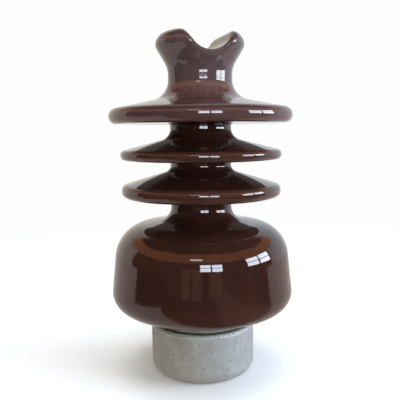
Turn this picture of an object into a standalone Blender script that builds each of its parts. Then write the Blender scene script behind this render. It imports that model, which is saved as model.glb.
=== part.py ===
"""Tie-top line-post insulator: a turned porcelain body cemented on a galvanised iron base.

The origin is at the middle of the base's seat, +Z runs up the axis, and the conductor
groove across the head runs along Y. Lengths are in metres, angles in radians.
"""
import math
from collections import namedtuple

import bmesh
import bpy

# ---- driving dimensions -------------------------------------------------------------------------
HEIGHT = 0.305             # seat of the base to crown of the head
SHED_RADIUS = 0.0816       # top shed
SMALL_SHED_RADIUS = 0.0722
CORE_RADIUS = 0.0275
NECK_RADIUS = 0.0286       # bottom of the side groove for the tie wire
HEAD_RADIUS = 0.0392
GROOVE_RADIUS = 0.0200     # conductor groove across the head
GROOVE_FLOOR = 0.2873
GROOVE_LIP = 0.0050        # rounding of the groove's two long edges
FLANGE_RADIUS = 0.0473
FLANGE_HEIGHT = 0.0460
BELL_BOTTOM = 0.0587
MOUTH_HEIGHT = 0.0622      # mouth of the socket, a little above the bell's rim
SOCKET_RADIUS = 0.0412
SOCKET_TOP = 0.1080
SOCKET_FILLET = 0.0020
SHANK_RADIUS = 0.0300
SHANK_TOP = 0.1015
STUD_HOLE_RADIUS = 0.00835  # tapping size of a 3/4 inch stud
STUD_HOLE_DEPTH = 0.0380
CLEARANCE = 0.0003         # gap left between pieces that touch

TURN_STEPS = 32            # facets round a turned piece
GROOVE_FACETS = 13         # facets of the groove, an odd count, so that one lies along its floor
LIP_FACETS = 3
ARC_STEP = math.radians(22.5)
MERGE_DISTANCE = 0.00001

COLLECTION_NAME = "porcelain_insulator"
CUTTER_COLLECTION_NAME = "insulator_cutters"


# ---- scene and materials ------------------------------------------------------------------------
def clear_scene():
    for item in list(bpy.data.objects):
        bpy.data.objects.remove(item, do_unlink=True)


def new_collection(name):
    collection = bpy.data.collections.new(name)
    bpy.context.scene.collection.children.link(collection)
    return collection


def principled(name, colour, roughness, metallic=0.0, coat=0.0):
    material = bpy.data.materials.new(name)
    material.use_nodes = True
    shader = material.node_tree.nodes["Principled BSDF"]
    shader.inputs["Base Color"].default_value = (*colour, 1.0)
    shader.inputs["Roughness"].default_value = roughness
    shader.inputs["Metallic"].default_value = metallic
    shader.inputs["Coat Weight"].default_value = coat
    material.diffuse_color = (*colour, 1.0)
    return material


# ---- turned shapes ------------------------------------------------------------------------------
def unit(vector):
    length = math.hypot(*vector)
    return vector[0] / length, vector[1] / length


def corner_arc(before, corner, after, radius):
    """Points of the arc that rounds one corner of an outline."""
    to_before = unit((before[0] - corner[0], before[1] - corner[1]))
    to_after = unit((after[0] - corner[0], after[1] - corner[1]))
    half_angle = 0.5 * math.acos(to_before[0] * to_after[0] + to_before[1] * to_after[1])
    middle = unit((to_before[0] + to_after[0], to_before[1] + to_after[1]))
    reach = radius / math.sin(half_angle)
    centre = (corner[0] + middle[0] * reach, corner[1] + middle[1] * reach)
    tangent = radius / math.tan(half_angle)
    start = (corner[0] + to_before[0] * tangent, corner[1] + to_before[1] * tangent)
    end = (corner[0] + to_after[0] * tangent, corner[1] + to_after[1] * tangent)
    first = math.atan2(start[1] - centre[1], start[0] - centre[0])
    sweep = math.atan2(end[1] - centre[1], end[0] - centre[0]) - first
    sweep = (sweep + math.pi) % (2.0 * math.pi) - math.pi
    count = max(1, round(abs(sweep) / ARC_STEP))
    angles = [first + sweep * index / count for index in range(count + 1)]
    return [(centre[0] + radius * math.cos(a), centre[1] + radius * math.sin(a)) for a in angles]


def rounded_outline(corners):
    """Points of an outline given as (radius, height, corner radius); its ends stay sharp."""
    points = [corners[0][:2]]
    for before, corner, after in zip(corners, corners[1:], corners[2:]):
        if corner[2] > 0.0:
            points += corner_arc(before, corner, after, corner[2])
        else:
            points.append(corner[:2])
    return points + [corners[-1][:2]]


def turned(name, corners, material, collection, closed=False):
    """A solid of revolution. A closed outline is a ring; an open one starts and ends on the axis."""
    points = rounded_outline(corners)
    mesh = bpy.data.meshes.new(name)
    outline = bmesh.new()
    vertices = [outline.verts.new((radius, 0.0, height)) for radius, height in points]
    if closed:
        vertices.append(vertices[0])
    for start, end in zip(vertices, vertices[1:]):
        outline.edges.new((start, end))
    outline.to_mesh(mesh)
    outline.free()
    piece = bpy.data.objects.new(name, mesh)
    collection.objects.link(piece)
    screw = piece.modifiers.new("turn", "SCREW")
    screw.axis = "Z"
    screw.angle = 2.0 * math.pi
    screw.steps = TURN_STEPS
    screw.render_steps = TURN_STEPS
    screw.use_merge_vertices = True
    screw.merge_threshold = MERGE_DISTANCE
    screw.use_smooth_shade = True
    mesh.materials.append(material)
    return piece


# ---- porcelain ----------------------------------------------------------------------------------
# A shed: radius of its rim, height of its top face at the core, slope of that face, height of its
# underside, roundings of the rim above and below, and fillet where the top face meets the core.
Shed = namedtuple("Shed", "rim root fall underside nose_top nose_bottom fillet")

TOP_SHED = Shed(SHED_RADIUS, 0.2530, 0.260, 0.2262, 0.0068, 0.0064, 0.0)
SECOND_SHED = Shed(SMALL_SHED_RADIUS, 0.2142, 0.259, 0.1945, 0.0042, 0.0042, 0.0100)
THIRD_SHED = Shed(SMALL_SHED_RADIUS - 0.0007, 0.1849, 0.300, 0.1612, 0.0052, 0.0052, 0.0062)
UNDERSIDE_RISE = 0.0010    # an underside is this much higher at the core than at the rim
UNDERSIDE_FILLET = 0.0035

HEAD_SHOULDER = (HEAD_RADIUS - 0.0044, HEIGHT, 0.0100)
HEAD_WAIST = (HEAD_RADIUS + 0.0013, HEIGHT - 0.0100, 0.0080)
NECK_TOP = (NECK_RADIUS, HEIGHT - 0.0302, 0.0220)
NECK_FOOT = (NECK_RADIUS, 0.2500, 0.0184)
TOP_SHED_BEND = (0.0670, 0.2420, 0.0300)   # the top shed's face steepens towards its rim

BELL_ROOT = (CORE_RADIUS, 0.1416, 0.0125)
BELL_SHOULDER = (0.0760, 0.1336, 0.0315)
BELL_FOOT = (0.0841, BELL_BOTTOM, 0.0170)
BELL_RIM = (0.0600, BELL_BOTTOM, 0.0040)
MOUTH_EDGE = (SOCKET_RADIUS + 0.0110, MOUTH_HEIGHT, 0.0040)


def shed_outline(shed):
    """A shed's corners from the root of its top face to the root of its underside."""
    nose_height = shed.root - (shed.rim - CORE_RADIUS) * shed.fall
    return [
        (CORE_RADIUS, shed.root, shed.fillet),
        (shed.rim, nose_height, shed.nose_top),
        (shed.rim, shed.underside, shed.nose_bottom),
        (CORE_RADIUS, shed.underside + UNDERSIDE_RISE, UNDERSIDE_FILLET),
    ]


def porcelain_outline():
    head = [(0.0, HEIGHT, 0.0), HEAD_SHOULDER, HEAD_WAIST, NECK_TOP, NECK_FOOT]
    # The top shed has no core above it: its top face runs into the neck's fillet.
    top_shed = [TOP_SHED_BEND, *shed_outline(TOP_SHED)[1:]]
    small_sheds = shed_outline(SECOND_SHED) + shed_outline(THIRD_SHED)
    bell = [BELL_ROOT, BELL_SHOULDER, BELL_FOOT, BELL_RIM, MOUTH_EDGE]
    socket = [
        (SOCKET_RADIUS, MOUTH_HEIGHT, 0.0),
        (SOCKET_RADIUS, SOCKET_TOP, SOCKET_FILLET),
        (0.0, SOCKET_TOP, 0.0),
    ]
    return head + top_shed + small_sheds + bell + socket


def groove_section():
    """Cross-section of the conductor groove in x and z, with its lips rounded over the crown."""
    centre_height = GROOVE_FLOOR + GROOVE_RADIUS
    lip_height = HEIGHT - GROOVE_LIP
    reach = GROOVE_RADIUS + GROOVE_LIP
    lip_x = math.sqrt(reach ** 2 - (lip_height - centre_height) ** 2)
    lean = math.atan2(lip_height - centre_height, lip_x)   # from the groove's axis to the lip's
    sweep = math.pi + 2.0 * lean
    points = []
    for index in range(GROOVE_FACETS + 1):
        angle = math.pi - lean + sweep * index / GROOVE_FACETS
        points.append((GROOVE_RADIUS * math.cos(angle), centre_height + GROOVE_RADIUS * math.sin(angle)))
    lip = []
    for index in range(1, LIP_FACETS):
        angle = math.pi + lean - (math.pi / 2.0 + lean) * index / LIP_FACETS
        lip.append((lip_x + GROOVE_LIP * math.cos(angle), lip_height + GROOVE_LIP * math.sin(angle)))
    above = HEIGHT + GROOVE_LIP
    top_x = lip_x + GROOVE_LIP
    points += lip + [(top_x, above), (-top_x, above)]
    points += [(-x, z) for x, z in reversed(lip)]
    return points


def make_groove_cutter(cutters):
    mesh = bpy.data.meshes.new("groove_cutter")
    prism = bmesh.new()
    half_length = 2.0 * HEAD_RADIUS
    near = [prism.verts.new((x, -half_length, z)) for x, z in groove_section()]
    far = [prism.verts.new((x, half_length, z)) for x, z in groove_section()]
    prism.faces.new(near)
    prism.faces.new(list(reversed(far)))
    for index in range(len(near)):
        following = (index + 1) % len(near)
        prism.faces.new((near[following], near[index], far[index], far[following]))
    bmesh.ops.recalc_face_normals(prism, faces=prism.faces)
    prism.to_mesh(mesh)
    prism.free()
    cutter = bpy.data.objects.new("groove_cutter", mesh)
    cutter.hide_render = True
    cutter.display_type = "WIRE"
    cutters.objects.link(cutter)
    return cutter


def make_porcelain(collection, cutters):
    glaze = principled("brown_glaze", (0.072, 0.024, 0.018), 0.08, coat=1.0)
    body = turned("porcelain_body", porcelain_outline(), glaze, collection)
    cut = body.modifiers.new("conductor_groove", "BOOLEAN")
    cut.object = make_groove_cutter(cutters)
    cut.operation = "DIFFERENCE"
    cut.solver = "EXACT"
    return body


# ---- cemented joint -----------------------------------------------------------------------------
SHANK_CHAMFER = 0.0020
RIB_COUNT = 3              # grip grooves round the shank, each with sloping sides
RIB_PITCH = 0.0105
RIB_DEPTH = 0.0016
RIB_HALF_MOUTH = 0.0040
RIB_HALF_FLOOR = 0.0021
COLLAR_RADIUS = 0.0382
COLLAR_TOP = 0.0654
FIRST_RIB = COLLAR_TOP + 0.0020
FLANGE_TOP_EDGE = 0.0028
FLANGE_BOTTOM_EDGE = 0.0110
COUNTERSINK = 0.0020
DRILL_POINT = 0.0045       # depth of the cone that the drill leaves
COAT_THICKNESS = 0.0010
GRIT_THICKNESS = 0.0016
SEAL_LIP_RADIUS = 0.0424
SEAL_FOOT_RADIUS = 0.0420
SEAL_EDGE = 0.0015


def ribbed_wall(radius):
    """A wall turned with grip grooves, from top to bottom."""
    points = []
    for index in reversed(range(RIB_COUNT)):
        middle = FIRST_RIB + (index + 0.5) * RIB_PITCH
        points += [
            (radius, middle + RIB_HALF_MOUTH, 0.0),
            (radius - RIB_DEPTH, middle + RIB_HALF_FLOOR, 0.0),
            (radius - RIB_DEPTH, middle - RIB_HALF_FLOOR, 0.0),
            (radius, middle - RIB_HALF_MOUTH, 0.0),
        ]
    return points


def make_base(collection):
    zinc = principled("galvanised_iron", (0.40, 0.41, 0.40), 0.55, metallic=0.6)
    shank = [
        (0.0, SHANK_TOP, 0.0),
        (SHANK_RADIUS, SHANK_TOP, SHANK_CHAMFER),
        *ribbed_wall(SHANK_RADIUS),
        (SHANK_RADIUS, COLLAR_TOP, 0.0),
    ]
    flange = [
        (COLLAR_RADIUS, COLLAR_TOP, 0.0),
        (COLLAR_RADIUS, FLANGE_HEIGHT, 0.0),
        (FLANGE_RADIUS, FLANGE_HEIGHT, FLANGE_TOP_EDGE),
        (FLANGE_RADIUS, 0.0, FLANGE_BOTTOM_EDGE),
    ]
    hole = [
        (STUD_HOLE_RADIUS + COUNTERSINK, 0.0, 0.0),
        (STUD_HOLE_RADIUS, COUNTERSINK, 0.0),
        (STUD_HOLE_RADIUS, STUD_HOLE_DEPTH, 0.0),
        (0.0, STUD_HOLE_DEPTH + DRILL_POINT, 0.0),
    ]
    return turned("base_casting", shank + flange + hole, zinc, collection)


def make_seal(collection):
    """The mastic ring that stands on the flange and closes the socket's mouth."""
    mastic = principled("sealing_mastic", (0.100, 0.090, 0.070), 0.7)
    inner = COLLAR_RADIUS + CLEARANCE
    foot = FLANGE_HEIGHT + CLEARANCE
    plug = SOCKET_RADIUS - CLEARANCE
    lip = MOUTH_HEIGHT - CLEARANCE
    corners = [
        (plug, COLLAR_TOP, 0.0),
        (plug, lip, 0.0),
        (SEAL_LIP_RADIUS, lip, SEAL_EDGE),
        (SEAL_FOOT_RADIUS, foot, 0.0),
        (inner, foot, 0.0),
        (inner, COLLAR_TOP, 0.0),
    ]
    return turned("joint_seal", corners, mastic, collection, closed=True)


def make_sleeve(name, inner, outer, bottom, top, material, collection, inner_ribs=(), outer_ribs=()):
    """A ring round the shank. Ribs on its walls are given from top to bottom."""
    corners = [
        (outer, top, 0.0),
        *outer_ribs,
        (outer, bottom, 0.0),
        (inner, bottom, 0.0),
        *reversed(inner_ribs),
        (inner, top, 0.0),
    ]
    return turned(name, corners, material, collection, closed=True)


def make_filling(collection):
    """The pieces sealed in the socket, from the shank outwards, and the disc on its top."""
    coat = principled("bitumen", (0.020, 0.020, 0.019), 0.5)
    cement = principled("cement", (0.42, 0.40, 0.37), 0.9)
    grit = principled("grit", (0.36, 0.30, 0.24), 0.95)
    cork = principled("cork", (0.42, 0.26, 0.13), 0.9)

    coat_inner = SHANK_RADIUS + CLEARANCE
    coat_outer = coat_inner + COAT_THICKNESS
    cement_inner = coat_outer + CLEARANCE
    grit_outer = SOCKET_RADIUS - CLEARANCE
    grit_inner = grit_outer - GRIT_THICKNESS
    cement_outer = grit_inner - CLEARANCE
    floor = COLLAR_TOP + CLEARANCE
    ceiling = SOCKET_TOP - CLEARANCE

    make_sleeve(
        "bitumen_coat", coat_inner, coat_outer, floor, SHANK_TOP - SHANK_CHAMFER, coat, collection,
        inner_ribs=ribbed_wall(coat_inner), outer_ribs=ribbed_wall(coat_outer),
    )
    make_sleeve(
        "cement_joint", cement_inner, cement_outer, floor, ceiling, cement, collection,
        inner_ribs=ribbed_wall(cement_inner),
    )
    grit_top = SOCKET_TOP - SOCKET_FILLET
    make_sleeve("grit_band", grit_inner, grit_outer, floor, grit_top, grit, collection)

    disc_radius = cement_inner - CLEARANCE
    disc_outline = [
        (0.0, ceiling, 0.0),
        (disc_radius, ceiling, 0.0),
        (disc_radius, SHANK_TOP + CLEARANCE, 0.0),
        (0.0, SHANK_TOP + CLEARANCE, 0.0),
    ]
    turned("cushion_disc", disc_outline, cork, collection)


def main():
    clear_scene()
    insulator = new_collection(COLLECTION_NAME)
    cutters = new_collection(CUTTER_COLLECTION_NAME)
    make_porcelain(insulator, cutters)
    make_base(insulator)
    make_seal(insulator)
    make_filling(insulator)


main()
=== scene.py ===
"""Looks of a tie-top line-post insulator: brown-glazed porcelain cemented on a galvanised base."""
import math

import bpy
import numpy as np
from mathutils import Matrix, Vector


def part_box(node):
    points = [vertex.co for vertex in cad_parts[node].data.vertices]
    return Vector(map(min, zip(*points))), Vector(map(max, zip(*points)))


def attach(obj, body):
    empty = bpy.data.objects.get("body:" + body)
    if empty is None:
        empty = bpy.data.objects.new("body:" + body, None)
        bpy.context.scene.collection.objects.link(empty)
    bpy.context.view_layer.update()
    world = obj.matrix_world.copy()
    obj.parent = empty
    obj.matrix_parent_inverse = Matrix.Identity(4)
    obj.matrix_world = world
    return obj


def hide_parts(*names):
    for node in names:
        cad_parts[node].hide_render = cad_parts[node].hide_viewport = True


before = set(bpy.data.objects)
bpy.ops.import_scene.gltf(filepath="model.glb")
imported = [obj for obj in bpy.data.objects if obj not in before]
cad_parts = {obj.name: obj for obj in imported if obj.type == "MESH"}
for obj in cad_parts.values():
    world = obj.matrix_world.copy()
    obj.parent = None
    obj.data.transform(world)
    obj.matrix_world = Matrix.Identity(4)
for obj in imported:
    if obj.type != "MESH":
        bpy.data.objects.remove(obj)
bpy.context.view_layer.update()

# ---- sizes, in metres, as the CAD model has them ------------------------------------------------
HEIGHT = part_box("porcelain_body")[1].z
SHED_RADIUS = 0.0816
BELL_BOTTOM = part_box("porcelain_body")[0].z
FLANGE_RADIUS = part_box("base_casting")[1].x
SHANK_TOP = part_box("base_casting")[1].z
COLLAR_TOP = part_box("joint_seal")[1].z
SOCKET_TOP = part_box("cement_joint")[1].z + 0.0003
MOUTH_HEIGHT = BELL_BOTTOM + 0.0035
SMALL_SHED_RADIUS = 0.0722
CORE_RADIUS = 0.0275
NECK_RADIUS = 0.0286
HEAD_RADIUS = 0.0392
GROOVE_RADIUS = 0.0200
GROOVE_FLOOR = 0.2873
GROOVE_LIP = 0.0060        # how far the groove's edges are blended into the head
SOCKET_RADIUS = 0.0412
FLANGE_HEIGHT = 0.0460
FLANGE_TOP_EDGE = 0.0028
FLANGE_BOTTOM_EDGE = 0.0110
COLLAR_RADIUS = 0.0382
SHANK_RADIUS = 0.0300
STUD_HOLE_RADIUS = 0.00835
STUD_HOLE_DEPTH = 0.0380
CLEARANCE = 0.0003

COLUMNS = 192              # vertices round a turned piece
ARC_STEP = math.radians(5.0)
ROW_SPACING = 0.0022
TINY = 1e-7                # lines shorter than this are left out
MERGE = 1e-6               # points nearer than this are one point


# ---- outlines -----------------------------------------------------------------------------------
def unit(vector):
    return np.asarray(vector, float) / np.linalg.norm(vector)


def corner_arc(before, corner, after):
    """Centre, first angle and sweep of the arc that rounds a corner, with its two ends."""
    place, radius = np.array(corner[:2], float), corner[2]
    to_before = unit(np.subtract(before[:2], place))
    to_after = unit(np.subtract(after[:2], place))
    half_angle = 0.5 * math.acos(float(np.clip(to_before @ to_after, -1.0, 1.0)))
    centre = place + unit(to_before + to_after) * radius / math.sin(half_angle)
    start = place + to_before * radius / math.tan(half_angle)
    end = place + to_after * radius / math.tan(half_angle)
    first = math.atan2(start[1] - centre[1], start[0] - centre[0])
    sweep = math.atan2(end[1] - centre[1], end[0] - centre[0]) - first
    sweep = (sweep + math.pi) % (2.0 * math.pi) - math.pi
    return centre, first, sweep, start, end


class Outline:
    """Lines and arcs through corners of (radius, height, corner radius), with the solid on the right."""

    def __init__(self, corners):
        self.parts = []
        last = np.array(corners[0][:2], float)
        for before, corner, after in zip(corners, corners[1:], corners[2:]):
            if corner[2] > 0.0:
                centre, first, sweep, start, end = corner_arc(before, corner, after)
                self.parts.append(("line", last, start))
                self.parts.append(("arc", centre, corner[2], first, sweep))
                last = end
            else:
                self.parts.append(("line", last, np.array(corner[:2], float)))
                last = np.array(corner[:2], float)
        self.parts.append(("line", last, np.array(corners[-1][:2], float)))

    def samples(self):
        """Points down the outline, and how sharply it bulges there, in 1/m."""
        points, bulges = [], []
        for part in self.parts:
            if part[0] == "line":
                _, start, end = part
                length = np.linalg.norm(end - start)
                if length < TINY:
                    continue
                count = max(1, math.ceil(length / ROW_SPACING))
                for index in range(count + 1):
                    points.append(start + (end - start) * index / count)
                    bulges.append(0.0)
            else:
                _, centre, radius, first, sweep = part
                steps = max(abs(sweep) / ARC_STEP, abs(sweep) * radius / ROW_SPACING, 2.0)
                for index in range(math.ceil(steps) + 1):
                    angle = first + sweep * index / math.ceil(steps)
                    points.append(centre + radius * np.array((math.cos(angle), math.sin(angle))))
                    bulges.append(-math.copysign(1.0 / radius, sweep))
        points, bulges = np.array(points), np.array(bulges)
        keep = np.ones(len(points), bool)
        keep[1:] = np.linalg.norm(np.diff(points, axis=0), axis=1) > MERGE
        return points[keep], bulges[keep]

    def distance(self, radius, height):
        """Signed distance from the outline, outside positive, for arrays of radius and height."""
        nearest = np.full(radius.shape, np.inf)
        signed = np.zeros(radius.shape)
        place = np.stack([radius, height], axis=-1)
        for part in self.parts:
            if part[0] == "line":
                _, start, end = part
                span = end - start
                length = np.linalg.norm(span)
                if length < TINY:
                    continue
                along = np.clip((place - start) @ span / length**2, 0.0, 1.0)
                offset = place - start - along[..., None] * span
                side = offset @ np.array((-span[1], span[0])) / length
                away = np.linalg.norm(offset, axis=-1)
            else:
                _, centre, arc_radius, first, sweep = part
                spoke = place - centre
                turn = (np.arctan2(spoke[..., 1], spoke[..., 0]) - first) * math.copysign(1.0, sweep)
                within = turn % (2.0 * math.pi) <= abs(sweep)
                side = -math.copysign(1.0, sweep) * (np.linalg.norm(spoke, axis=-1) - arc_radius)
                away = np.where(within, np.abs(side), np.inf)
            closer = away < nearest
            nearest = np.where(closer, away, nearest)
            signed = np.where(closer, side, signed)
        return signed


# ---- meshes -------------------------------------------------------------------------------------
TURNS = np.linspace(0.0, 2.0 * math.pi, COLUMNS, endpoint=False)


def ripple(turns, heights, seed, waves=7):
    """Smooth unevenness between -1 and 1 round and up a piece."""
    random = np.random.default_rng(seed)
    total = np.zeros(np.broadcast(turns, heights).shape)
    for _ in range(waves):
        around = random.integers(1, 8)
        upward = random.uniform(-160.0, 160.0)
        total += np.sin(around * turns + upward * heights + random.uniform(0.0, 2.0 * math.pi))
    return total / waves


def grid_faces(rows, closed):
    """Quads of a grid that closes round its columns, and round its rows too if closed."""
    row = np.arange(rows if closed else rows - 1)[:, None]
    column = np.arange(COLUMNS)[None, :]
    below, beside = (row + 1) % rows, (column + 1) % COLUMNS
    corners = [row * COLUMNS + column, below * COLUMNS + column]
    corners += [below * COLUMNS + beside, row * COLUMNS + beside]
    return np.stack(np.broadcast_arrays(*corners), axis=-1).reshape(-1, 4).tolist()


def grid_piece(name, rings, material, node=None, closed=False, bulge=None):
    """A piece from rings of points. An open grid gets a point on the axis at each of its ends."""
    rows = len(rings)
    points = rings.reshape(-1, 3)
    faces = grid_faces(rows, closed)
    if not closed:
        top, bottom = rings[0].mean(axis=0), rings[-1].mean(axis=0)
        points = np.vstack([points, top, bottom])
        first, last = rows * COLUMNS, (rows - 1) * COLUMNS
        for column in range(COLUMNS):
            beside = (column + 1) % COLUMNS
            faces.append([first, column, beside])
            faces.append([first + 1, last + beside, last + column])
    mesh = bpy.data.meshes.new(name)
    mesh.from_pydata(points.tolist(), [], faces)
    mesh.polygons.foreach_set("use_smooth", np.ones(len(faces), bool))
    if bulge is not None:
        values = np.repeat(bulge, COLUMNS)
        values = np.append(values, [0.0] * (len(points) - len(values)))
        mesh.attributes.new("bulge", "FLOAT", "POINT").data.foreach_set("value", values)
    mesh.materials.append(material)
    mesh.update()
    piece = bpy.data.objects.new(name, mesh)
    bpy.context.scene.collection.objects.link(piece)
    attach(piece, "root")
    if node:
        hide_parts(node)
    return piece


def turned_rings(points, dent=0.0, droop=0.0, seed=0):
    """Rings of an outline, dented inwards by up to dent, with rims that rise and fall by droop."""
    radius, height = points[:, 0][:, None], points[:, 1][:, None]
    depth = 0.5 * dent * (1.0 + ripple(TURNS, height, seed)) * np.clip(radius / 0.02, 0.0, 1.0)
    sway = droop * ripple(TURNS, 0.5 * height, seed + 1) * np.clip(radius / 0.08, 0.0, 1.0) ** 2
    spread = radius - depth
    return np.stack([spread * np.cos(TURNS), spread * np.sin(TURNS), height + sway], axis=-1)


def shed(rim, root, fall, underside, nose_top, nose_bottom, fillet):
    """A shed's corners from the root of its top face to the root of its underside."""
    return [
        (CORE_RADIUS, root, fillet),
        (rim, root - (rim - CORE_RADIUS) * fall, nose_top),
        (rim, underside, nose_bottom),
        (CORE_RADIUS, underside + 0.0010, 0.0035),
    ]


HEAD = [
    (0.0, HEIGHT, 0.0),
    (HEAD_RADIUS - 0.0044, HEIGHT, 0.0100),             # shoulder
    (HEAD_RADIUS + 0.0013, HEIGHT - 0.0100, 0.0080),    # widest place
    (NECK_RADIUS, HEIGHT - 0.0302, 0.0220),             # top of the neck
    (NECK_RADIUS, 0.2500, 0.0184),                      # foot of the neck
    (0.0670, 0.2420, 0.0300),                           # bend in the top shed
]
SHEDS = [                  # the top shed's own root is the bend above
    *shed(SHED_RADIUS, 0.2530, 0.260, 0.2262, 0.0068, 0.0064, 0.0)[1:],
    *shed(SMALL_SHED_RADIUS, 0.2142, 0.259, 0.1945, 0.0042, 0.0042, 0.0100),
    *shed(SMALL_SHED_RADIUS - 0.0007, 0.1849, 0.300, 0.1612, 0.0052, 0.0052, 0.0062),
]
BELL = [
    (CORE_RADIUS, 0.1416, 0.0125),                      # root
    (0.0760, 0.1336, 0.0315),                           # shoulder
    (0.0841, BELL_BOTTOM, 0.0170),                      # foot
    (0.0600, BELL_BOTTOM, 0.0040),                      # inner edge of the rim
    (SOCKET_RADIUS + 0.0110, MOUTH_HEIGHT, 0.0040),
    (SOCKET_RADIUS, MOUTH_HEIGHT, 0.0012),              # mouth of the socket
    (SOCKET_RADIUS, SOCKET_TOP, 0.0020),
    (0.0, SOCKET_TOP, 0.0),
]
HEAD_ROWS = 110            # rings that the head's mesh keeps
HEAD_RAYS = 700            # rays cast up each column to find its surface
HEAD_REACH = 0.09          # length of those rays, past every point of the head
HALVINGS = 30              # bisection steps on each ray
RAY_SOURCE = 0.2455        # height on the axis from which every point of the head is seen
HEAD_START = 0.2600        # the head's mesh starts on the neck, below this height


def head_curves(outline, ring):
    """For each column, the head's surface from the neck ring to the axis, with the groove cut in."""
    def outside(reach, slope):
        radius, height = reach * np.cos(slope), RAY_SOURCE + reach * np.sin(slope)
        head = outline.distance(radius, height)
        to_groove = np.hypot(radius * np.cos(TURNS), height - GROOVE_FLOOR - GROOVE_RADIUS)
        groove = GROOVE_RADIUS - to_groove
        overlap = np.clip(GROOVE_LIP - np.abs(head - groove), 0.0, None) / GROOVE_LIP
        return np.maximum(head, groove) + 0.25 * GROOVE_LIP * overlap**2

    lowest = math.atan2(ring[1] - RAY_SOURCE, ring[0])
    slopes = np.linspace(lowest, 0.5 * math.pi, HEAD_RAYS)[:, None] * np.ones(COLUMNS)
    near, far = np.zeros(slopes.shape), np.full(slopes.shape, HEAD_REACH)
    for _ in range(HALVINGS):
        middle = 0.5 * (near + far)
        solid = outside(middle, slopes) < 0.0
        near = np.where(solid, middle, near)
        far = np.where(solid, far, middle)
    radius, height = near * np.cos(slopes), RAY_SOURCE + near * np.sin(slopes)
    curves = np.empty((HEAD_ROWS, COLUMNS, 2))
    share = np.linspace(0.0, 1.0, HEAD_ROWS)
    for column in range(COLUMNS):
        steps = np.hypot(np.diff(radius[:, column]), np.diff(height[:, column]))
        travelled = np.concatenate([[0.0], np.cumsum(steps)]) / steps.sum()
        curves[:, column, 0] = np.interp(share, travelled, radius[:, column])
        curves[:, column, 1] = np.interp(share, travelled, height[:, column])
    return curves[::-1]


BODY_DENT = 0.00020        # how unround a fired body is
SHED_DROOP = 0.00030       # how far its sheds rise and fall
RIM_BULGE = 200.0          # curvature, in 1/m, at which the glaze counts as thin


def make_porcelain(material):
    outline = Outline(HEAD + SHEDS + BELL)
    points, bulge = outline.samples()
    on_neck = np.flatnonzero((points[:, 1] < HEAD_START) & (points[:, 0] < NECK_RADIUS + 0.004))[0]
    points, bulge = points[on_neck:-1], bulge[on_neck:-1]
    head_outline = Outline(HEAD + SHEDS[:1])
    curves = head_curves(head_outline, points[0])[1:-1]
    radius, height = curves[..., 0], curves[..., 1]
    head = np.stack([radius * np.cos(TURNS), radius * np.sin(TURNS), height], axis=-1)
    body = turned_rings(points, dent=BODY_DENT, droop=SHED_DROOP, seed=4)
    # The ring on the neck is shared, so the head is eased onto it.
    ease = np.linspace(0.0, 1.0, len(head))[:, None, None] ** 3
    plain = turned_rings(points[:1])
    head += ease * (body[:1] - plain)
    rings = np.concatenate([head, body])
    head_bulge = np.clip(1.0 - np.abs(np.linspace(-1.2, 1.6, len(head))), 0.0, 1.0) * 60.0
    return grid_piece(
        "porcelain", rings, material, node="porcelain_body",
        bulge=np.concatenate([head_bulge, bulge]) / RIM_BULGE,
    )


RIB_COUNT = 3
RIB_PITCH = 0.0105
RIB_DEPTH = 0.0016
RIB_HALF_MOUTH = 0.0040
RIB_HALF_FLOOR = 0.0021
RIB_EDGE = 0.0006
RIB_START = 0.0020         # plain shank below the first rib
THREAD_PITCH = 0.00254     # 10 threads an inch
THREAD_DEPTH = 0.0012
THREAD_ROWS = 10           # rings in one pitch
THREAD_RUNOUT = 0.0030     # plain wall above the thread
COUNTERSINK = 0.0020
DRILL_POINT = 0.0045
DRILL_POINT_ROWS = 12
WALL_DENT = 0.00014        # how uneven the flange's cast wall is


def ribbed_shank():
    corners = [(0.0, SHANK_TOP, 0.0), (SHANK_RADIUS, SHANK_TOP, 0.0020)]
    for index in reversed(range(RIB_COUNT)):
        middle = COLLAR_TOP + RIB_START + (index + 0.5) * RIB_PITCH
        corners += [
            (SHANK_RADIUS, middle + RIB_HALF_MOUTH, RIB_EDGE),
            (SHANK_RADIUS - RIB_DEPTH, middle + RIB_HALF_FLOOR, RIB_EDGE),
            (SHANK_RADIUS - RIB_DEPTH, middle - RIB_HALF_FLOOR, RIB_EDGE),
            (SHANK_RADIUS, middle - RIB_HALF_MOUTH, RIB_EDGE),
        ]
    return corners


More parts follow.
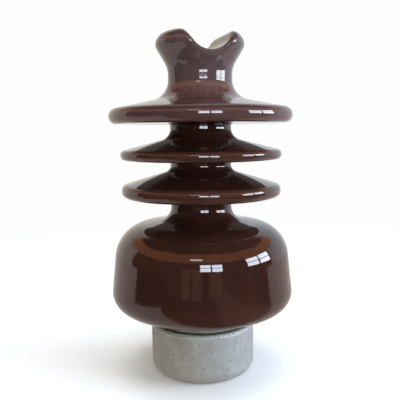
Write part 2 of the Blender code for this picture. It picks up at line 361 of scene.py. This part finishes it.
def make_base(material):
    outer = Outline([
        *ribbed_shank(),
        (SHANK_RADIUS, COLLAR_TOP, 0.0010),
        (COLLAR_RADIUS, COLLAR_TOP, 0.0006),
        (COLLAR_RADIUS, FLANGE_HEIGHT, 0.0006),
        (FLANGE_RADIUS, FLANGE_HEIGHT, FLANGE_TOP_EDGE),
        (FLANGE_RADIUS, 0.0, FLANGE_BOTTOM_EDGE),
        (STUD_HOLE_RADIUS + COUNTERSINK, 0.0, 0.0003),
        (STUD_HOLE_RADIUS, COUNTERSINK, 0.0),
    ])
    points, bulge = outer.samples()
    body = turned_rings(points[1:], seed=11)
    radius = np.hypot(body[..., 0], body[..., 1])
    on_wall = (radius > FLANGE_RADIUS - 0.004) & (body[..., 2] < FLANGE_HEIGHT - 0.0005)
    dents = WALL_DENT * (1.0 + ripple(TURNS, 3.0 * body[..., 2], seed=12, waves=14)) * on_wall
    body[..., :2] *= ((radius - dents) / radius)[..., None]
    spacing = THREAD_PITCH / THREAD_ROWS
    heights = np.arange(COUNTERSINK + spacing, STUD_HOLE_DEPTH, spacing)[:, None]
    phase = (heights / THREAD_PITCH - TURNS / (2.0 * math.pi)) % 1.0
    groove = np.clip(1.5 * (1.0 - np.abs(2.0 * phase - 1.0)) - 0.3, 0.0, 1.0)
    fade = np.clip((heights - 0.0022) / THREAD_PITCH, 0.0, 1.0)
    fade = fade * np.clip((STUD_HOLE_DEPTH - THREAD_RUNOUT - heights) / THREAD_PITCH, 0.0, 1.0)
    wall = STUD_HOLE_RADIUS + THREAD_DEPTH * groove * fade
    tall = heights + 0.0 * TURNS
    thread = np.stack([wall * np.cos(TURNS), wall * np.sin(TURNS), tall], axis=-1)
    share = np.linspace(0.0, 0.96, DRILL_POINT_ROWS)[:, None]
    cone_radius = STUD_HOLE_RADIUS * (1.0 - share) + 0.0 * TURNS
    cone_height = STUD_HOLE_DEPTH + DRILL_POINT * share + 0.0 * TURNS
    cone = [cone_radius * np.cos(TURNS), cone_radius * np.sin(TURNS), cone_height]
    rings = np.concatenate([body, thread, np.stack(cone, axis=-1)])
    bulge = np.append(bulge[1:], np.zeros(len(rings) - len(body))) * FLANGE_TOP_EDGE
    return grid_piece("base", rings, material, node="base_casting", bulge=bulge)


SEAL_RADIUS = 0.0424
SEAL_SLUMP = 0.00035       # how uneven the tooled face is
BEAD_HALF_WIDTH = 0.0006
BEAD_HALF_HEIGHT = 0.0003
BEAD_SWELL = 0.45          # how far the bead thickens and thins, as a share
BEAD_ROWS = 16


def make_seal(material):
    """The mastic between the flange and the porcelain, tooled by hand and so a little uneven."""
    plug = SOCKET_RADIUS - CLEARANCE
    inner = COLLAR_RADIUS + CLEARANCE
    lip = MOUTH_HEIGHT - CLEARANCE
    foot = FLANGE_HEIGHT + CLEARANCE
    outline = Outline([
        (inner, COLLAR_TOP, 0.0),
        (plug, COLLAR_TOP, 0.0004),
        (plug, lip, 0.0004),
        (SEAL_RADIUS, lip, 0.0006),
        (SEAL_RADIUS - 0.0004, foot, 0.0006),
        (inner, foot, 0.0002),
        (inner, COLLAR_TOP - 0.0002, 0.0),
    ])
    points, _ = outline.samples()
    rings = turned_rings(points)
    radius = np.hypot(rings[..., 0], rings[..., 1])
    outside = np.clip((radius - plug - 0.0002) / 0.0006, 0.0, 1.0)
    slump = SEAL_SLUMP * ripple(TURNS, 1.5 * rings[..., 2], seed=21, waves=16) * outside
    rings[..., :2] *= ((radius + slump) / radius)[..., None]
    return grid_piece("seal", rings, material, node="joint_seal", closed=True)


def make_bead(material):
    """Bitumen squeezed out along the foot of the seal."""
    around = np.linspace(0.0, -2.0 * math.pi, BEAD_ROWS, endpoint=False)[:, None]
    swell = 1.0 + BEAD_SWELL * ripple(TURNS, np.zeros(1), seed=31, waves=18)
    radius = SEAL_RADIUS + BEAD_HALF_WIDTH * swell * (1.0 + np.cos(around))
    height = FLANGE_HEIGHT + CLEARANCE + BEAD_HALF_HEIGHT * swell * (1.0 + np.sin(around))
    rings = np.stack([radius * np.cos(TURNS), radius * np.sin(TURNS), height], axis=-1)
    return grid_piece("bitumen_bead", rings, material, closed=True)


# ---- materials ----------------------------------------------------------------------------------
class Nodes:
    """Short names for the nodes that the materials and the room are made of."""

    def __init__(self, tree):
        self.tree = tree

    def node(self, kind, output=0, settings=(), **inputs):
        made = self.tree.nodes.new("ShaderNode" + kind)
        for name, value in dict(settings).items():
            setattr(made, name, value)
        for name, value in inputs.items():
            key = int(name[1:]) if name[0] == "_" else name.replace("_", " ")
            self.put(made.inputs[key], value)
        return made.outputs[output]

    def put(self, socket, value):
        if isinstance(value, bpy.types.NodeSocket):
            self.tree.links.new(value, socket)
        elif isinstance(value, tuple) and len(value) == 3 and socket.type == "RGBA":
            socket.default_value = (*value, 1.0)
        else:
            socket.default_value = value

    def math(self, operation, first, second=0.0):
        return self.node("Math", settings={"operation": operation}, _0=first, _1=second)

    def blend(self, factor, first, second):
        return self.node("Mix", 2, settings={"data_type": "RGBA"}, _0=factor, _6=first, _7=second)

    def ramp(self, value, low, high, start=0.0, end=1.0):
        """Turns low..high smoothly into start..end, and holds the ends."""
        settings = {"interpolation_type": "SMOOTHSTEP"}
        return self.node("MapRange", 0, settings, _0=value, _1=low, _2=high, _3=start, _4=end)

    def band(self, value, low, high, soft):
        """1 between low and high, 0 beyond, over a soft edge."""
        rise = self.ramp(value, low - soft, low + soft)
        return self.math("MULTIPLY", rise, self.ramp(value, high + soft, high - soft))

    def place(self):
        """Place on the object, with its distance from the axis and its height."""
        place = self.node("TexCoord", "Object")
        split = self.tree.nodes.new("ShaderNodeSeparateXYZ")
        self.tree.links.new(place, split.inputs[0])
        squares = self.math("MULTIPLY", split.outputs[0], split.outputs[0])
        other = self.math("MULTIPLY", split.outputs[1], split.outputs[1])
        radius = self.math("SQRT", self.math("ADD", squares, other))
        return place, radius, split.outputs[2]

    def noise(self, place, scale, detail=3.0, roughness=0.5):
        return self.node("TexNoise", "Fac", Vector=place, Scale=scale, Detail=detail, Roughness=roughness)

    def cells(self, place, scale):
        made = self.tree.nodes.new("ShaderNodeTexVoronoi")
        self.tree.links.new(place, made.inputs["Vector"])
        made.inputs["Scale"].default_value = scale
        return made.outputs["Distance"], made.outputs["Color"]

    def spots(self, place, scale, size, share):
        """Round spots of up to size, in part of a cell, in a share of the cells."""
        distance, colour = self.cells(place, scale)
        chosen = self.node("SeparateColor", 0, _0=colour)
        reach = self.ramp(chosen, 1.0 - share, 1.0, 0.0, size)
        return self.ramp(self.math("SUBTRACT", distance, reach), 0.0, -0.4 * size)

    def bump(self, height, distance, normal=None, strength=1.0):
        inputs = {"Height": height, "Distance": distance, "Strength": strength}
        if normal:
            inputs["Normal"] = normal
        return self.node("Bump", 0, **inputs)


def material_nodes(name):
    material = bpy.data.materials.new(name)
    material.use_nodes = True
    nodes = Nodes(material.node_tree)
    return material, nodes, material.node_tree.nodes["Principled BSDF"]


def glaze():
    """Brown glaze, thinner and redder on the rims, over a buff body that shows at the mouth."""
    material, nodes, shader = material_nodes("brown_glaze_fired")
    place, radius, height = nodes.place()
    broad = nodes.noise(place, 22.0, 2.0)
    mottle = nodes.noise(place, 260.0, 4.0)
    rings = nodes.node("CombineXYZ", 0, _0=nodes.math("MULTIPLY", radius, 420.0), _1=0.0,
                       _2=nodes.math("MULTIPLY", height, 420.0))
    rings = nodes.noise(rings, 1.0, 3.0)
    bulge = nodes.node("Attribute", "Fac", {"attribute_name": "bulge"})
    thin = nodes.math("MULTIPLY", nodes.ramp(bulge, 0.0, 1.0), nodes.ramp(mottle, 0.2, 0.9, 0.5, 1.0))

    colour = nodes.blend(nodes.ramp(broad, 0.3, 0.7), (0.019, 0.0070, 0.0048), (0.029, 0.0098, 0.0064))
    colour = nodes.blend(nodes.ramp(mottle, 0.45, 0.85, 0.0, 0.35), colour, (0.040, 0.0135, 0.0082))
    colour = nodes.blend(nodes.math("MULTIPLY", thin, 0.55), colour, (0.064, 0.0265, 0.0200))
    specks = nodes.spots(place, 620.0, 0.22, 0.16)
    colour = nodes.blend(nodes.math("MULTIPLY", specks, 0.75), colour, (0.008, 0.0040, 0.0034))

    # A grey veil on the head and the top sheds, thinner on faces that point up: partly grime, partly a
    # painted sheen.
    patches = nodes.ramp(broad, 0.3, 0.7, 0.34, 0.50)
    grime_and_sheen = nodes.math("MULTIPLY", nodes.ramp(height, 0.195, 0.275), patches)
    # Painted shade: the veil is kept off the cores, which lie in shade.
    out_of_shade = nodes.math("MAXIMUM", nodes.ramp(radius, 0.045, 0.065), nodes.ramp(height, 0.240, 0.250))
    grime_and_sheen = nodes.math("MULTIPLY", grime_and_sheen, out_of_shade)
    upward = nodes.node("SeparateXYZ", 2, _0=nodes.node("TexCoord", "Normal"))
    grime_and_sheen = nodes.math("MULTIPLY", grime_and_sheen, nodes.ramp(upward, 0.30, 0.80, 1.0, 0.30))
    colour = nodes.blend(grime_and_sheen, colour, (0.128, 0.088, 0.090))
    # Dust that stays at the foot of the neck.
    foot = nodes.band(height, 0.2475, 0.2600, 0.0030)
    dust = nodes.math("MULTIPLY", foot, nodes.ramp(mottle, 0.3, 0.7, 0.12, 0.30))
    colour = nodes.blend(dust, colour, (0.200, 0.092, 0.080))

    # The bare body shows round the mouth of the socket and inside it.
    wander = nodes.math("MULTIPLY", nodes.math("SUBTRACT", mottle, 0.5), 0.004)
    edge = nodes.math("ADD", radius, wander)
    low = nodes.ramp(height, MOUTH_HEIGHT + 0.0030, MOUTH_HEIGHT + 0.0024)
    bare = nodes.math("MULTIPLY", nodes.ramp(edge, 0.0566, 0.0560), low)
    in_socket = nodes.ramp(radius, SEAL_RADIUS, SEAL_RADIUS - 0.0004)
    within = nodes.ramp(height, SOCKET_TOP + 0.0030, SOCKET_TOP + 0.0020)
    within = nodes.math("MULTIPLY", in_socket, within)
    bare = nodes.math("MAXIMUM", bare, within)
    grain = nodes.noise(place, 1500.0, 3.0)
    body = nodes.blend(grain, (0.40, 0.33, 0.25), (0.62, 0.56, 0.47))
    colour = nodes.blend(bare, colour, body)

    gloss = nodes.ramp(mottle, 0.2, 0.8, 0.025, 0.055)
    rough = nodes.math("ADD", gloss, nodes.math("MULTIPLY", bare, 0.75))
    rough = nodes.math("ADD", rough, nodes.math("MULTIPLY", foot, 0.05))
    pits = nodes.spots(place, 300.0, 0.10, 0.05)
    normal = nodes.bump(nodes.noise(place, 90.0, 1.0), 0.00003)
    normal = nodes.bump(rings, 0.0000018, normal)
    normal = nodes.bump(nodes.math("SUBTRACT", 0.0, pits), 0.0002, normal)
    normal = nodes.bump(nodes.math("MULTIPLY", grain, bare), 0.0004, normal)
    nodes.put(shader.inputs["Base Color"], colour)
    nodes.put(shader.inputs["Roughness"], rough)
    nodes.put(shader.inputs["Normal"], normal)
    shader.inputs["IOR"].default_value = 1.56
    return material


def galvanised():
    """Cast iron dipped in zinc and weathered: dull, mottled, pitted, darker at its bottom edge. Painted
    light tints one side warm and the other cool and brightens the rounded top edge; painted shade partly
    darkens the top face round the seal.
    """
    material, nodes, shader = material_nodes("weathered_zinc")
    place, radius, height = nodes.place()
    broad = nodes.noise(place, 60.0, 4.0, 0.6)
    grain = nodes.noise(place, 900.0, 5.0, 0.65)
    cells, _ = nodes.cells(place, 240.0)
    runs = nodes.node("Mapping", 0, _0=place, _3=(160.0, 160.0, 28.0))
    runs = nodes.noise(runs, 1.0, 3.0)
    bulge = nodes.node("Attribute", "Fac", {"attribute_name": "bulge"})
    # Painted light: warm on the -X side and cool on the +X side, as the room's light falls on them.
    side = nodes.node("VectorMath", 1, {"operation": "DOT_PRODUCT"}, _0=place, _1=(1.0, 0.0, 0.0))
    side = nodes.ramp(side, -0.040, 0.040)
    dull = nodes.blend(side, (0.222, 0.208, 0.160), (0.262, 0.280, 0.288))
    clean = nodes.blend(side, (0.284, 0.274, 0.226), (0.328, 0.350, 0.362))
    colour = nodes.blend(nodes.ramp(broad, 0.3, 0.7), dull, clean)
    middle = nodes.noise(place, 240.0, 3.0)
    colour = nodes.blend(nodes.ramp(middle, 0.40, 0.65, 0.0, 0.30), colour, (0.205, 0.204, 0.182))
    colour = nodes.blend(nodes.ramp(grain, 0.42, 0.70, 0.0, 0.34), colour, (0.430, 0.440, 0.445))
    colour = nodes.blend(nodes.ramp(runs, 0.50, 0.80, 0.0, 0.25), colour, (0.170, 0.165, 0.135))
    # Painted highlight: pale flecks on the rounded top edge of the flange.
    painted_edge_highlight = nodes.math("MULTIPLY", nodes.ramp(bulge, 0.5, 1.0), nodes.ramp(grain, 0.48, 0.66, 0.0, 0.75))
    colour = nodes.blend(painted_edge_highlight, colour, (0.640, 0.645, 0.640))
    # Pits in patches, a coarse and a fine kind.
    pits = nodes.spots(place, 360.0, 0.34, 0.50)
    pits = nodes.math("MULTIPLY", pits, nodes.ramp(broad, 0.47, 0.56))
    fine = nodes.math("MULTIPLY", nodes.spots(place, 620.0, 0.45, 0.60), nodes.ramp(middle, 0.50, 0.58))
    pits = nodes.math("MAXIMUM", pits, fine)
    colour = nodes.blend(nodes.math("MULTIPLY", pits, 0.55), colour, (0.085, 0.078, 0.062))
    # Darker towards the bottom edge.
    low_edge = nodes.math("ADD", height, nodes.math("MULTIPLY", broad, 0.006))
    colour = nodes.blend(nodes.ramp(low_edge, 0.0085, 0.0035, 0.0, 0.45), colour, (0.150, 0.142, 0.120))
    # The top face of the flange round the seal is darkened: partly a bitumen smear, partly painted shade
    # under the bell.
    tar_and_shade_edge = nodes.math("ADD", radius, nodes.math("MULTIPLY", middle, 0.005))
    tar_and_shade = nodes.math("MULTIPLY", nodes.ramp(tar_and_shade_edge, 0.0466, 0.0458), nodes.ramp(height, 0.0445, 0.0455))
    colour = nodes.blend(nodes.math("MULTIPLY", tar_and_shade, 0.85), colour, (0.020, 0.019, 0.017))
    normal = nodes.bump(broad, 0.0006)
    normal = nodes.bump(grain, 0.00026, normal)
    normal = nodes.bump(cells, 0.0002, normal)
    normal = nodes.bump(nodes.math("SUBTRACT", 0.0, pits), 0.0006, normal)
    nodes.put(shader.inputs["Base Color"], colour)
    nodes.put(shader.inputs["Roughness"], nodes.ramp(grain, 0.3, 0.7, 0.46, 0.66))
    nodes.put(shader.inputs["Normal"], normal)
    shader.inputs["Metallic"].default_value = 0.45
    return material


# Dark and light colour of each filling.
MASTIC = (0.085, 0.080, 0.060), (0.190, 0.182, 0.145)
BITUMEN = (0.010, 0.010, 0.009), (0.030, 0.029, 0.026)
BITUMEN_FILM = (0.009, 0.009, 0.008), (0.026, 0.025, 0.023)
CEMENT = (0.26, 0.25, 0.22), (0.48, 0.46, 0.42)
GRIT = (0.24, 0.18, 0.12), (0.55, 0.47, 0.37)
CORK = (0.22, 0.12, 0.05), (0.50, 0.32, 0.16)


def grainy(name, dark, light, scale, roughness, relief, pores=0.25):
    """A matt filling with grain of about 1/scale metres, and pores."""
    material, nodes, shader = material_nodes(name)
    place, _, _ = nodes.place()
    broad = nodes.noise(place, 0.12 * scale, 3.0)
    grain = nodes.noise(place, scale, 5.0, 0.7)
    colour = nodes.blend(nodes.ramp(grain, 0.3, 0.7), dark, light)
    # A darker tone of the filling, for broad blotches and for the pores; in the pores it is painted
    # shade.
    shade = tuple(0.6 * channel for channel in dark)
    colour = nodes.blend(nodes.ramp(broad, 0.45, 0.75, 0.0, 0.6), colour, shade)
    holes = nodes.spots(place, 0.5 * scale, 0.25, pores)
    colour = nodes.blend(nodes.math("MULTIPLY", holes, 0.6), colour, shade)
    normal = nodes.bump(grain, relief)
    normal = nodes.bump(nodes.math("SUBTRACT", 0.0, holes), relief, normal)
    nodes.put(shader.inputs["Base Color"], colour)
    nodes.put(shader.inputs["Roughness"], nodes.ramp(grain, 0.3, 0.7, roughness - 0.08, roughness + 0.05))
    nodes.put(shader.inputs["Normal"], normal)
    return material


def repaint(node, material):
    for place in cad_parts[node].material_slots:
        place.material = material


# ---- camera -------------------------------------------------------------------------------------
CAMERA_TURN = math.radians(-17.5)      # to the left of the groove's axis
CAMERA_DISTANCE = 0.4970
CAMERA_HEIGHT = 0.2175
CAMERA_TILT = math.radians(6.9)
CAMERA_ROLL = math.radians(-0.59)
CAMERA_SIDESTEP = 0.0012
CAMERA_LENS = 49.44


def toward(turn, lift=0.0):
    """Direction from the insulator at a turn to the right of the camera, and a lift."""
    angle = CAMERA_TURN + turn
    level = math.cos(lift)
    return Vector((math.sin(angle) * level, -math.cos(angle) * level, math.sin(lift)))


def make_camera():
    data = bpy.data.cameras.new("camera")
    data.lens = CAMERA_LENS
    data.sensor_width = 36.0
    data.clip_start = 0.01
    camera = bpy.data.objects.new("camera", data)
    bpy.context.scene.collection.objects.link(camera)
    backward = toward(0.0, CAMERA_TILT)
    right = toward(math.pi / 2.0)
    frame_axes = Matrix((right, backward.cross(right), backward)).transposed().to_4x4()
    spot = toward(0.0) * CAMERA_DISTANCE + Vector((0.0, 0.0, CAMERA_HEIGHT)) - right * CAMERA_SIDESTEP
    camera.matrix_world = Matrix.Translation(spot) @ frame_axes @ Matrix.Rotation(CAMERA_ROLL, 4, "Z")
    bpy.context.scene.camera = camera


# ---- room and lights ----------------------------------------------------------------------------
CURTAINS = ((-0.42, -0.27), (-0.20, -0.02), (0.14, 0.40))      # edges, as sines of the turn


def make_room():
    """A pale studio behind the insulator, and a dim room beside it and in front of it."""
    world = bpy.data.worlds.new("room")
    bpy.context.scene.world = world
    world.use_nodes = True
    nodes = Nodes(world.node_tree)
    direction = nodes.node("TexCoord", "Generated")
    split = world.node_tree.nodes.new("ShaderNodeSeparateXYZ")
    world.node_tree.links.new(direction, split.inputs[0])
    x, y, z = split.outputs
    level = nodes.math("SQRT", nodes.math("SUBTRACT", 1.0001, nodes.math("MULTIPLY", z, z)))

    def along(axis):
        part = nodes.math("ADD", nodes.math("MULTIPLY", x, axis.x), nodes.math("MULTIPLY", y, axis.y))
        return nodes.math("DIVIDE", part, level)

    facing, aside = along(toward(0.0)), along(toward(math.pi / 2.0))
    # The dim side has curtains. The other side is pale, warm on the left and cool on the right.
    blocks = nodes.node("TexNoise", "Fac", Vector=direction, Scale=5.0, Detail=1.0)
    wander = nodes.math("SUBTRACT", blocks, 0.5)
    dim = nodes.blend(nodes.ramp(blocks, 0.35, 0.65), (0.030, 0.026, 0.026), (0.090, 0.060, 0.048))
    curtains = nodes.band(aside, *CURTAINS[0], 0.03)
    for left, right in CURTAINS[1:]:
        curtains = nodes.math("MAXIMUM", curtains, nodes.band(aside, left, right, 0.03))
    curtains = nodes.math("MULTIPLY", curtains, nodes.band(z, -0.50, 0.10, 0.05))
    dim = nodes.blend(nodes.math("MULTIPLY", curtains, 0.8), dim, (0.42, 0.27, 0.20))
    pale = nodes.blend(nodes.ramp(aside, -0.4, 0.4), (0.93, 0.86, 0.76), (0.86, 0.92, 1.00))
    edge = nodes.math("ADD", facing, nodes.math("MULTIPLY", wander, 0.10))
    walls = nodes.blend(nodes.ramp(edge, -0.14, -0.24), dim, pale)
    # The ceiling is a warm band below a dark patch overhead. It is pale at the far end.
    rise = nodes.math("ADD", z, nodes.math("MULTIPLY", wander, 0.12))
    ceiling = nodes.blend(nodes.ramp(rise, 0.38, 0.44), walls, (0.98, 0.38, 0.19))
    height = nodes.math("SUBTRACT", rise, nodes.math("MULTIPLY", facing, 0.10))
    ceiling = nodes.blend(nodes.ramp(height, 0.65, 0.70), ceiling, (0.035, 0.032, 0.034))
    ceiling = nodes.blend(nodes.ramp(facing, -0.60, -0.80), ceiling, pale)
    # Below the floor's level it is dark in front. Matt surfaces are lit by a plain pale room instead.
    shade = nodes.blend(nodes.ramp(facing, 0.0, -0.5), (0.05, 0.040, 0.040), (0.60, 0.58, 0.54))
    mirrored = nodes.blend(nodes.ramp(z, -0.30, -0.50), ceiling, shade)
    lit = nodes.blend(nodes.ramp(aside, -0.8, 0.8), (0.44, 0.38, 0.28), (0.52, 0.61, 0.74))
    glossy = nodes.node("LightPath", "Is Glossy Ray")
    table = nodes.blend(glossy, lit, mirrored)
    seen = nodes.node("LightPath", "Is Camera Ray")
    colour = nodes.blend(seen, table, (0.98, 0.98, 0.985))
    nodes.put(world.node_tree.nodes["Background"].inputs["Color"], colour)


LIGHTS_AIM = Vector((0.0, 0.0, 0.15))                          # all lights face this point
WINDOW_RADIANCE = 16.0
WINDOW_COLOUR = (0.80, 0.88, 1.0)
FILL_SIZE = 1.5


def make_panel(name, turn, lift, distance, width, height, radiance, colour):
    """A soft light that faces the insulator and stays hidden from the camera."""
    data = bpy.data.lights.new(name, "AREA")
    data.shape = "RECTANGLE"
    data.size = width
    data.size_y = height
    data.energy = radiance * math.pi * width * height
    data.color = colour
    panel = bpy.data.objects.new(name, data)
    bpy.context.scene.collection.objects.link(panel)
    away = toward(turn, lift)
    panel.location = away * distance + LIGHTS_AIM
    panel.rotation_euler = away.to_track_quat("Z", "Y").to_euler()
    panel.visible_camera = False
    return panel


def make_window(name, turn, lift, distance, width, height, columns=2, rows=2, bar=0.14):
    """A window of several panes, with dark bars between them."""
    for column in range(columns):
        for row in range(rows):
            aside = ((column + 0.5) / columns - 0.5) * width
            upward = ((row + 0.5) / rows - 0.5) * height
            make_panel(
                f"{name}_{column}_{row}",
                math.radians(turn) + math.atan2(aside, distance),
                math.radians(lift) + math.atan2(upward, distance),
                distance, width / columns * (1.0 - bar), height / rows * (1.0 - bar),
                WINDOW_RADIANCE, WINDOW_COLOUR,
            )


# Name, turn, lift, radiance and colour of lights that only matt surfaces show.
FILLS = (
    ("left_fill", -70.0, 12.0, 0.5, (1.0, 0.92, 0.74)),
    ("right_fill", 75.0, 8.0, 1.0, (0.70, 0.90, 1.0)),
    ("back_fill", 172.0, 10.0, 1.5, (1.0, 0.98, 0.95)),
    ("top_fill", 0.0, 86.0, 3.2, (1.0, 1.0, 1.0)),
)


def make_lights():
    make_window("near_window", 11.0, 8.5, 2.4, 1.22, 0.80)
    make_window("side_window", 78.0, 12.0, 2.4, 1.70, 0.86)
    make_panel("lamp", math.radians(-8.0), math.radians(32.0), 2.0, 0.50, 0.14, 8.0, (1.0, 0.95, 0.88))
    for name, turn, lift, radiance, colour in FILLS:
        turn, lift = math.radians(turn), math.radians(lift)
        fill = make_panel(name, turn, lift, 2.0, FILL_SIZE, FILL_SIZE, radiance, colour)
        fill.visible_glossy = False


FLOOR_LEVEL = -0.0002
FLOOR_RINGS = (0.4, 0.8, 1.2)


def make_floor():
    """A pale floor that fades into the pale surround. For glossy rays it glows instead: a painted
    reflection of a white sheet on a dark table.
    """
    material, nodes, shader = material_nodes("pale_floor")
    place, radius, _ = nodes.place()
    shader.inputs["Base Color"].default_value = (0.93, 0.93, 0.93, 1.0)
    shader.inputs["Roughness"].default_value = 0.9
    shader.inputs["Specular IOR Level"].default_value = 0.0
    nodes.put(shader.inputs["Alpha"], nodes.ramp(radius, 1.00, 0.14))
    # Painted reflection: the glow is pale over the sheet and dark elsewhere.
    dot = {"operation": "DOT_PRODUCT"}
    ahead = nodes.node("VectorMath", 1, dot, _0=place, _1=tuple(toward(0.0)))
    aside = nodes.node("VectorMath", 1, dot, _0=place, _1=tuple(toward(math.pi / 2.0)))
    left = nodes.ramp(nodes.math("ADD", ahead, nodes.math("MULTIPLY", aside, 0.78)), 0.085, 0.045)
    right = nodes.math("SUBTRACT", aside, nodes.math("MULTIPLY", ahead, 0.27))
    front = nodes.math("MAXIMUM", left, nodes.ramp(right, 0.0, 0.02, 0.0, 0.16))
    front = nodes.math("MULTIPLY", front, nodes.ramp(nodes.math("ABSOLUTE", aside), 0.60, 0.52))
    sheet = nodes.math("MAXIMUM", front, nodes.ramp(ahead, 0.075, 0.020))
    sheet = nodes.blend(sheet, (0.03, 0.03, 0.03), (0.80, 0.70, 0.66))
    glow = nodes.node("Emission", 0, Color=sheet)
    glossy = nodes.node("LightPath", "Is Glossy Ray")
    look = nodes.node("MixShader", 0, _0=glossy, _1=shader.outputs[0], _2=glow)
    nodes.put(nodes.tree.nodes["Material Output"].inputs["Surface"], look)
    rings = [[(r * math.cos(t), r * math.sin(t), FLOOR_LEVEL) for t in TURNS] for r in FLOOR_RINGS]
    points = [(0.0, 0.0, FLOOR_LEVEL)] + [point for ring in rings for point in ring]
    faces = [[0, 1 + column, 1 + (column + 1) % COLUMNS] for column in range(COLUMNS)]
    for row in range(len(rings) - 1):
        for column in range(COLUMNS):
            here, beside = 1 + row * COLUMNS + column, 1 + row * COLUMNS + (column + 1) % COLUMNS
            faces.append([here, here + COLUMNS, beside + COLUMNS, beside])
    mesh = bpy.data.meshes.new("floor")
    mesh.from_pydata(points, [], faces)
    mesh.materials.append(material)
    floor = bpy.data.objects.new("floor", mesh)
    bpy.context.scene.collection.objects.link(floor)


bpy.context.scene.view_settings.view_transform = "Standard"
make_camera()
make_room()
make_lights()
make_floor()

make_porcelain(glaze())
make_base(galvanised())
make_seal(grainy("mastic_grey", *MASTIC, 900.0, 0.80, 0.0005))
make_bead(grainy("bitumen_black", *BITUMEN, 700.0, 0.42, 0.0002))
repaint("bitumen_coat", grainy("bitumen_film", *BITUMEN_FILM, 500.0, 0.45, 0.0001))
repaint("cement_joint", grainy("cement_grey", *CEMENT, 1100.0, 0.90, 0.0003))
repaint("grit_band", grainy("grit_buff", *GRIT, 700.0, 0.92, 0.0008, 0.5))
repaint("cushion_disc", grainy("cork_brown", *CORK, 450.0, 0.90, 0.0004, 0.5))
